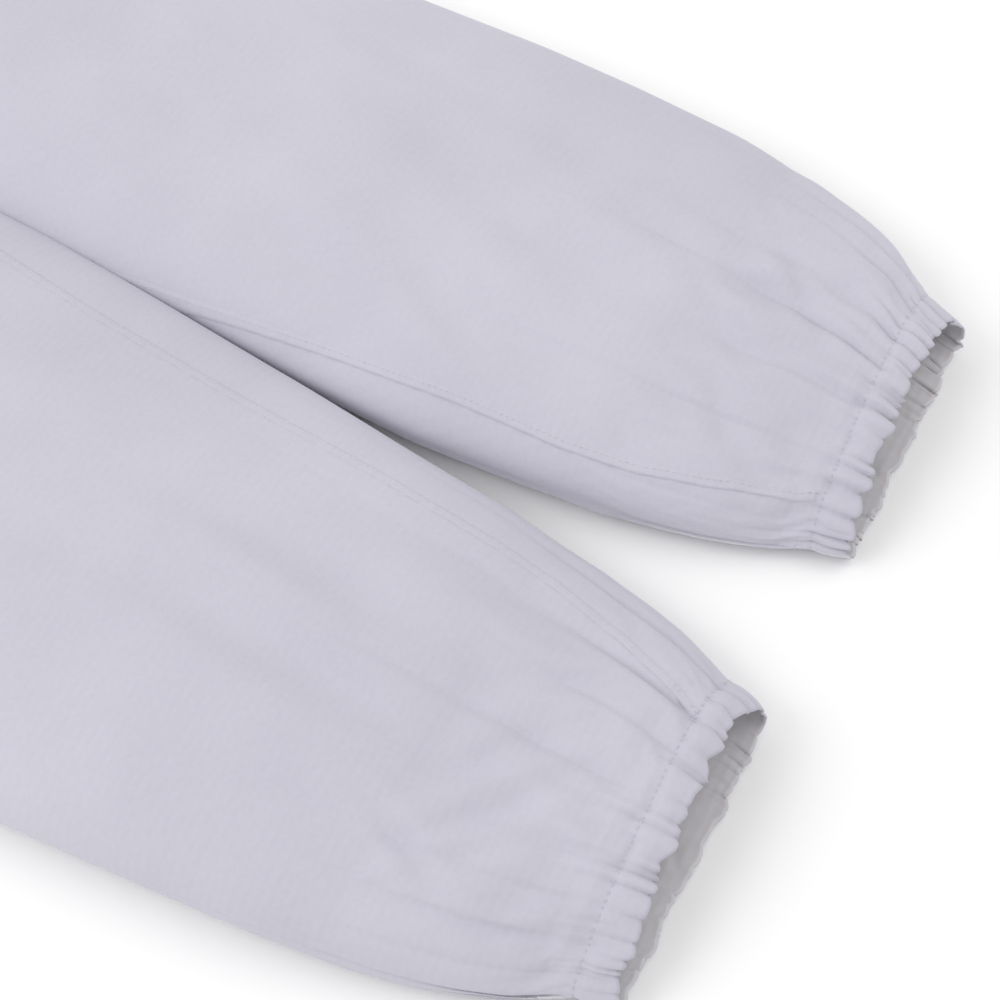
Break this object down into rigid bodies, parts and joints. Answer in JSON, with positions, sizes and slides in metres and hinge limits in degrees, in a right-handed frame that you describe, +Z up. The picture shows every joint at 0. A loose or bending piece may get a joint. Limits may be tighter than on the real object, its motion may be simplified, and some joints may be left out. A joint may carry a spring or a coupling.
{
  "type": "beekeeping suit",
  "caption": "White one-piece protective suit with elasticated ankles and wrists, front zip, pockets and a zip-on hood with a net veil, laid out flat.",
  "frame": {"origin": "centre of the underside of the whole suit, on the surface it lies on", "axes": "+Z up from the surface, out of the wearer's chest; +Y towards the head; +X towards the wearer's left"},
  "size_m": [1.522, 1.978, 0.165],
  "materials": {
    "white_cloth": "soft matte poly-cotton twill",
    "elastic": "woven elastic",
    "white_tape": "woven tape",
    "hook_and_loop": "hook and loop pile",
    "brass": "satin",
    "black_net": "open net",
    "nylon": "satin",
    "steel": "satin"
  },
  "bodies": {
    "torso": {"body_front_left": "white_cloth", "body_front_right": "white_cloth", "body_back": "white_cloth", "waist_elastic": "elastic", "zip_tape_left": "white_tape", "zip_tape_right": "white_tape", "zip_teeth_left": "brass", "zip_teeth_right": "brass", "zip_stops": "brass", "chest_pocket": "white_cloth", "hip_pocket_left": "white_cloth", "hip_pocket_right": "white_cloth", "collar": "white_cloth", "hanging_loop": "white_tape", "throat_loops": "hook_and_loop", "neck_zip_tape": "white_tape", "neck_zip_teeth": "brass"},
    "leg_left": {"leg_front_left": "white_cloth", "leg_back_left": "white_cloth", "ankle_hem_left": "white_cloth", "ankle_elastic_left": "elastic"},
    "leg_right": {"leg_front_right": "white_cloth", "leg_back_right": "white_cloth", "ankle_hem_right": "white_cloth", "ankle_elastic_right": "elastic", "tool_pocket": "white_cloth"},
    "sleeve_left": {"sleeve_front_left": "white_cloth", "sleeve_back_left": "white_cloth", "wrist_hem_left": "white_cloth", "wrist_elastic_left": "elastic", "thumb_loop_left": "elastic"},
    "sleeve_right": {"sleeve_front_right": "white_cloth", "sleeve_back_right": "white_cloth", "wrist_hem_right": "white_cloth", "wrist_elastic_right": "elastic", "thumb_loop_right": "elastic"},
    "hood": {"hood_neck_band": "white_cloth", "hood_zip_tape": "white_tape", "hood_zip_teeth": "brass", "hood_back": "white_cloth", "hood_side_left": "white_cloth", "hood_side_right": "white_cloth", "hood_crown": "white_cloth", "hood_chin": "white_cloth", "veil": "black_net", "face_hoop": "nylon", "hoop_joiner": "steel", "sweatband": "white_tape"},
    "main_slider": {"zip_slider": "brass"},
    "main_pull": {"zip_pull": "brass"},
    "hood_slider_left": {"neck_slider_left": "brass"},
    "hood_slider_right": {"neck_slider_right": "brass"},
    "hood_pull_left": {"neck_pull_left": "brass"},
    "hood_pull_right": {"neck_pull_right": "brass"},
    "throat_flap": {"throat_tab": "white_cloth", "throat_tab_hooks": "hook_and_loop"},
    "pocket_flap": {"chest_pocket_flap": "white_cloth"}
  },
  "joints": [
    {"name": "leg_left_spread", "type": "hinge", "parent": "torso", "child": "leg_left", "pos_m": [0.1555, -0.249, 0], "axis": [0, 0, 1], "range_deg": [0, 15]},
    {"name": "leg_right_spread", "type": "hinge", "parent": "torso", "child": "leg_right", "pos_m": [-0.1555, -0.249, 0], "axis": [0, 0, -1], "range_deg": [0, 15]},
    {"name": "sleeve_left_swing", "type": "hinge", "parent": "torso", "child": "sleeve_left", "pos_m": [0.3, 0.401, 0], "axis": [0, 0, 1], "range_deg": [-12, 75]},
    {"name": "sleeve_right_swing", "type": "hinge", "parent": "torso", "child": "sleeve_right", "pos_m": [-0.3, 0.401, 0], "axis": [0, 0, -1], "range_deg": [-12, 75]},
    {"name": "hood_fold", "type": "hinge", "parent": "torso", "child": "hood", "pos_m": [0, 0.598, 0.0665], "axis": [1, 0, 0], "range_deg": [0, 100]},
    {"name": "main_zip", "type": "slide", "parent": "torso", "child": "main_slider", "axis": [0, -1, 0], "range_m": [0, 0.68]},
    {"name": "main_pull_flip", "type": "hinge", "parent": "main_slider", "child": "main_pull", "pos_m": [0, 0.539, 0.0652], "axis": [-1, 0, 0], "range_deg": [0, 150]},
    {"name": "neck_zip_left", "type": "hinge", "parent": "torso", "child": "hood_slider_left", "pos_m": [0, 0.5964, -0.088], "axis": [0, 1, 0], "range_deg": [0, 36]},
    {"name": "neck_zip_right", "type": "hinge", "parent": "torso", "child": "hood_slider_right", "pos_m": [0, 0.5964, -0.088], "axis": [0, -1, 0], "range_deg": [0, 36]},
    {"name": "neck_pull_left_flip", "type": "hinge", "parent": "hood_slider_left", "child": "hood_pull_left", "pos_m": [0.01083, 0.5964, 0.06682], "axis": [0, -1, 0], "range_deg": [0, 80]},
    {"name": "neck_pull_right_flip", "type": "hinge", "parent": "hood_slider_right", "child": "hood_pull_right", "pos_m": [-0.01083, 0.5964, 0.06682], "axis": [0, 1, 0], "range_deg": [0, 80]},
    {"name": "throat_tab_lift", "type": "hinge", "parent": "torso", "child": "throat_flap", "pos_m": [0.04485, 0.574, 0.0587], "axis": [0, 1, 0], "range_deg": [0, 150]},
    {"name": "pocket_flap_lift", "type": "hinge", "parent": "torso", "child": "pocket_flap", "pos_m": [0.126, 0.402, 0.0625], "axis": [-1, 0, 0], "range_deg": [0, 105]}
  ]
}
